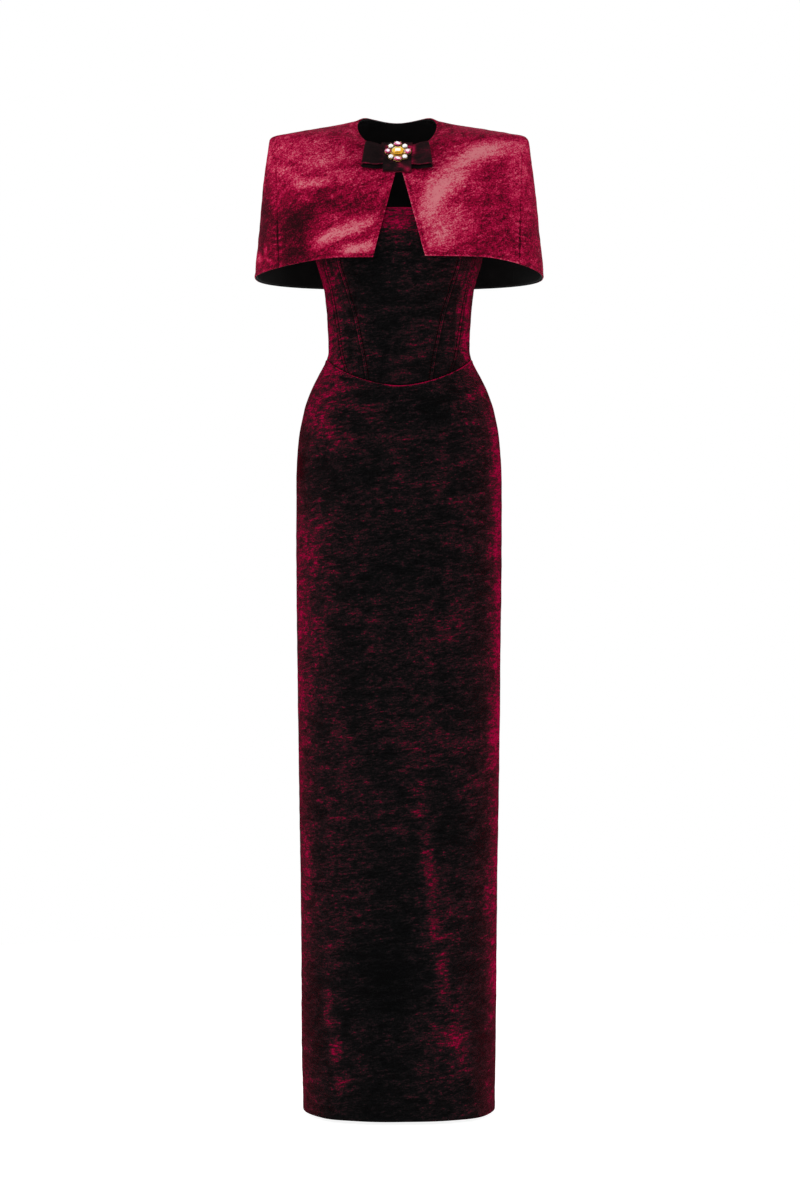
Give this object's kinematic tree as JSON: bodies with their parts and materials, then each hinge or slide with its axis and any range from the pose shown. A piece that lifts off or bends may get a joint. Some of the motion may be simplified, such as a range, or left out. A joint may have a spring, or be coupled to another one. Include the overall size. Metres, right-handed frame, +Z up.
{
  "type": "column gown with cape",
  "caption": "Floor-length strapless column gown with a boned bodice, and a matching stiff square-shouldered cape closed by a flat bow and a stone-set brooch.",
  "frame": {"origin": "the middle of the waist, the narrowest level of the bodice, where its wearer holds the gown up", "axes": "+Z up, the front faces -Y, +X is the wearer's left"},
  "size_m": [0.4442, 0.2845, 1.535],
  "materials": {
    "velvet": "crushed velvet, wine red, with a glossy mottled pile",
    "lining": "black satin lining",
    "bow": "dark ribbed velvet ribbon",
    "setting": "polished gold-coloured metal",
    "pink_stone": "faceted pink glass",
    "clear_stone": "faceted clear glass",
    "yellow_stone": "faceted yellow glass",
    "zip": "dark wine enamel on metal"
  },
  "bodies": {
    "garment": {"bodice_centre_front": "velvet", "skirt_front": "velvet", "cape_back": "velvet", "cape_lining_back": "lining", "bow_knot": "bow", "brooch_setting": "setting", "brooch_centre_stone": "yellow_stone", "zip_slider": "zip", "bodice_side_front_left": "velvet", "bodice_side_left": "velvet", "bodice_back_left": "velvet", "skirt_back_left": "velvet", "cape_front_left": "velvet", "cape_side_left": "velvet", "cape_lining_front_left": "lining", "cape_lining_side_left": "lining", "bow_loop_left": "bow", "bodice_side_front_right": "velvet", "bodice_side_right": "velvet", "bodice_back_right": "velvet", "skirt_back_right": "velvet", "cape_front_right": "velvet", "cape_side_right": "velvet", "cape_lining_front_right": "lining", "cape_lining_side_right": "lining", "bow_loop_right": "bow", "brooch_pink_stone_1": "pink_stone", "brooch_clear_stone_1": "clear_stone", "brooch_pink_stone_2": "pink_stone", "brooch_clear_stone_2": "clear_stone", "brooch_pink_stone_3": "pink_stone", "brooch_clear_stone_3": "clear_stone", "brooch_pink_stone_4": "pink_stone", "brooch_clear_stone_4": "clear_stone"},
    "zip_pull": {"zip_pull": "zip"}
  },
  "joints": [
    {"name": "zip_pull_swing", "type": "hinge", "parent": "garment", "child": "zip_pull", "pos_m": [0, 0.1016, 0.18], "axis": [1, 0, 0], "range_deg": [0, 150]}
  ]
}
